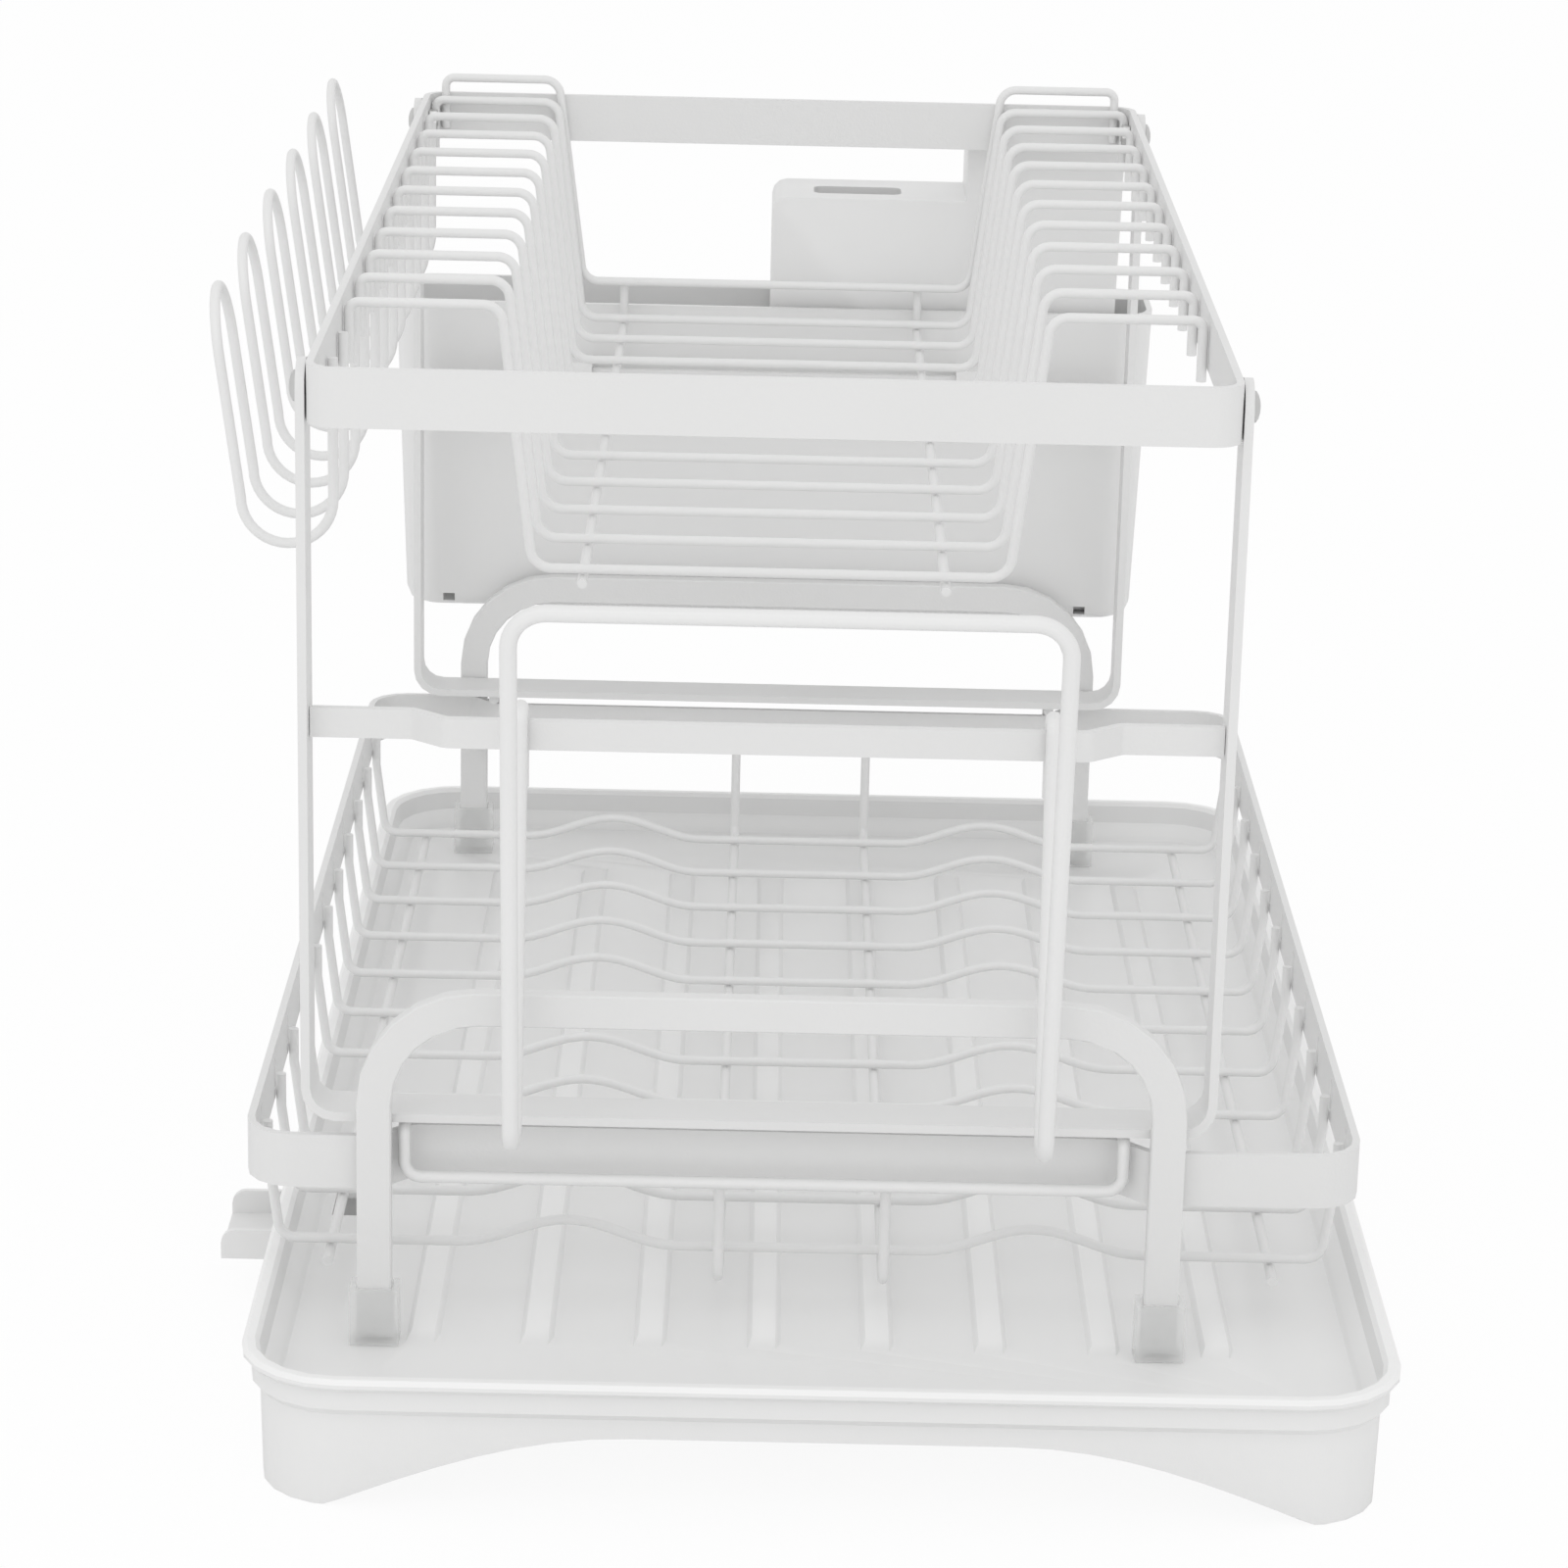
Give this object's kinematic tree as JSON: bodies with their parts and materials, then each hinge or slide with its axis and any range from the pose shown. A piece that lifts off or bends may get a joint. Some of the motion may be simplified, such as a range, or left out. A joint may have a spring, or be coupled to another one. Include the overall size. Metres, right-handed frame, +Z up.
{
  "type": "two-tier dish rack",
  "caption": "Two-tier wire dish rack with a drip tray and spout, lower basket on arches, clip-on upper plate tier, cup hooks, chopping board holder and a hung utensil box with knife block.",
  "frame": {"origin": "on the table, under the middle of the whole rack's outer box", "axes": "+Z up; +Y along the rack from the board holder's end to the utensil box's end; +X across it, with the cup hooks and the spout at -X"},
  "size_m": [0.324, 0.5291, 0.3033],
  "materials": {
    "white_powder_coat": "satin",
    "white_plastic": "satin",
    "clear_plastic": "clear",
    "screw_steel": "satin"
  },
  "bodies": {
    "tray": {"drain_tray": "white_plastic"},
    "spout": {"drain_spout": "white_plastic"},
    "basket": {"basket_band": "white_powder_coat", "cross_wire_01": "white_powder_coat", "cross_wire_02": "white_powder_coat", "cross_wire_03": "white_powder_coat", "cross_wire_04": "white_powder_coat", "cross_wire_05": "white_powder_coat", "cross_wire_06": "white_powder_coat", "cross_wire_07": "white_powder_coat", "cross_wire_08": "white_powder_coat", "cross_wire_09": "white_powder_coat", "cross_wire_10": "white_powder_coat", "cross_wire_11": "white_powder_coat", "long_wire_inner_left": "white_powder_coat", "long_wire_inner_right": "white_powder_coat", "long_wire_outer_left": "white_powder_coat", "long_wire_outer_right": "white_powder_coat", "leg_arch_near": "white_powder_coat", "leg_arch_far": "white_powder_coat", "foot_cap_near_left": "clear_plastic", "foot_cap_near_right": "clear_plastic", "foot_cap_far_left": "clear_plastic", "foot_cap_far_right": "clear_plastic"},
    "tier": {"upper_band": "white_powder_coat", "dish_wire_01": "white_powder_coat", "dish_wire_02": "white_powder_coat", "dish_wire_03": "white_powder_coat", "dish_wire_04": "white_powder_coat", "dish_wire_05": "white_powder_coat", "dish_wire_06": "white_powder_coat", "dish_wire_07": "white_powder_coat", "dish_wire_08": "white_powder_coat", "dish_wire_09": "white_powder_coat", "dish_wire_10": "white_powder_coat", "dish_wire_11": "white_powder_coat", "dish_wire_12": "white_powder_coat", "runner_left": "white_powder_coat", "runner_right": "white_powder_coat", "cup_hook_1": "white_powder_coat", "cup_hook_2": "white_powder_coat", "cup_hook_3": "white_powder_coat", "cup_hook_4": "white_powder_coat", "cup_hook_5": "white_powder_coat", "cup_hook_6": "white_powder_coat", "pivot_screw_near_left": "screw_steel", "pivot_screw_far_left": "screw_steel", "pivot_screw_near_right": "screw_steel", "pivot_screw_far_right": "screw_steel"},
    "near_legs": {"leg_frame_near": "white_powder_coat", "crossbar_near": "white_powder_coat", "clip_loop_near": "white_powder_coat"},
    "far_legs": {"leg_frame_far": "white_powder_coat", "crossbar_far": "white_powder_coat", "clip_loop_far": "white_powder_coat"},
    "board_holder": {"board_holder": "white_powder_coat"},
    "utensil_box": {"utensil_box": "white_plastic", "knife_block": "white_plastic"}
  },
  "joints": [
    {"name": "spout_slide", "type": "slide", "parent": "tray", "child": "spout", "axis": [1, 0, 0], "range_m": [0, 0.016]},
    {"name": "basket_lift", "type": "slide", "parent": "tray", "child": "basket", "axis": [0, 0, 1], "range_m": [0, 0.12]},
    {"name": "tier_lift", "type": "slide", "parent": "basket", "child": "tier", "axis": [0, 0, 1], "range_m": [0, 0.15]},
    {"name": "near_leg_fold", "type": "hinge", "parent": "tier", "child": "near_legs", "pos_m": [-0.009, -0.1944, 0.28575], "axis": [1, 0, 0], "range_deg": [0, 10.4]},
    {"name": "far_leg_fold", "type": "hinge", "parent": "tier", "child": "far_legs", "pos_m": [-0.009, 0.2016, 0.28575], "axis": [-1, 0, 0], "range_deg": [0, 1.3]},
    {"name": "board_holder_lift", "type": "slide", "parent": "near_legs", "child": "board_holder", "axis": [0, 0, 1], "range_m": [0, 0.05]},
    {"name": "utensil_box_lift", "type": "slide", "parent": "far_legs", "child": "utensil_box", "axis": [0, 0, 1], "range_m": [0, 0.012]}
  ],
  "couplings": [
    {"joint": "near_leg_fold", "follows": "tier_lift", "rad_per_m": 1.2},
    {"joint": "far_leg_fold", "follows": "tier_lift", "rad_per_m": 0.15}
  ]
}
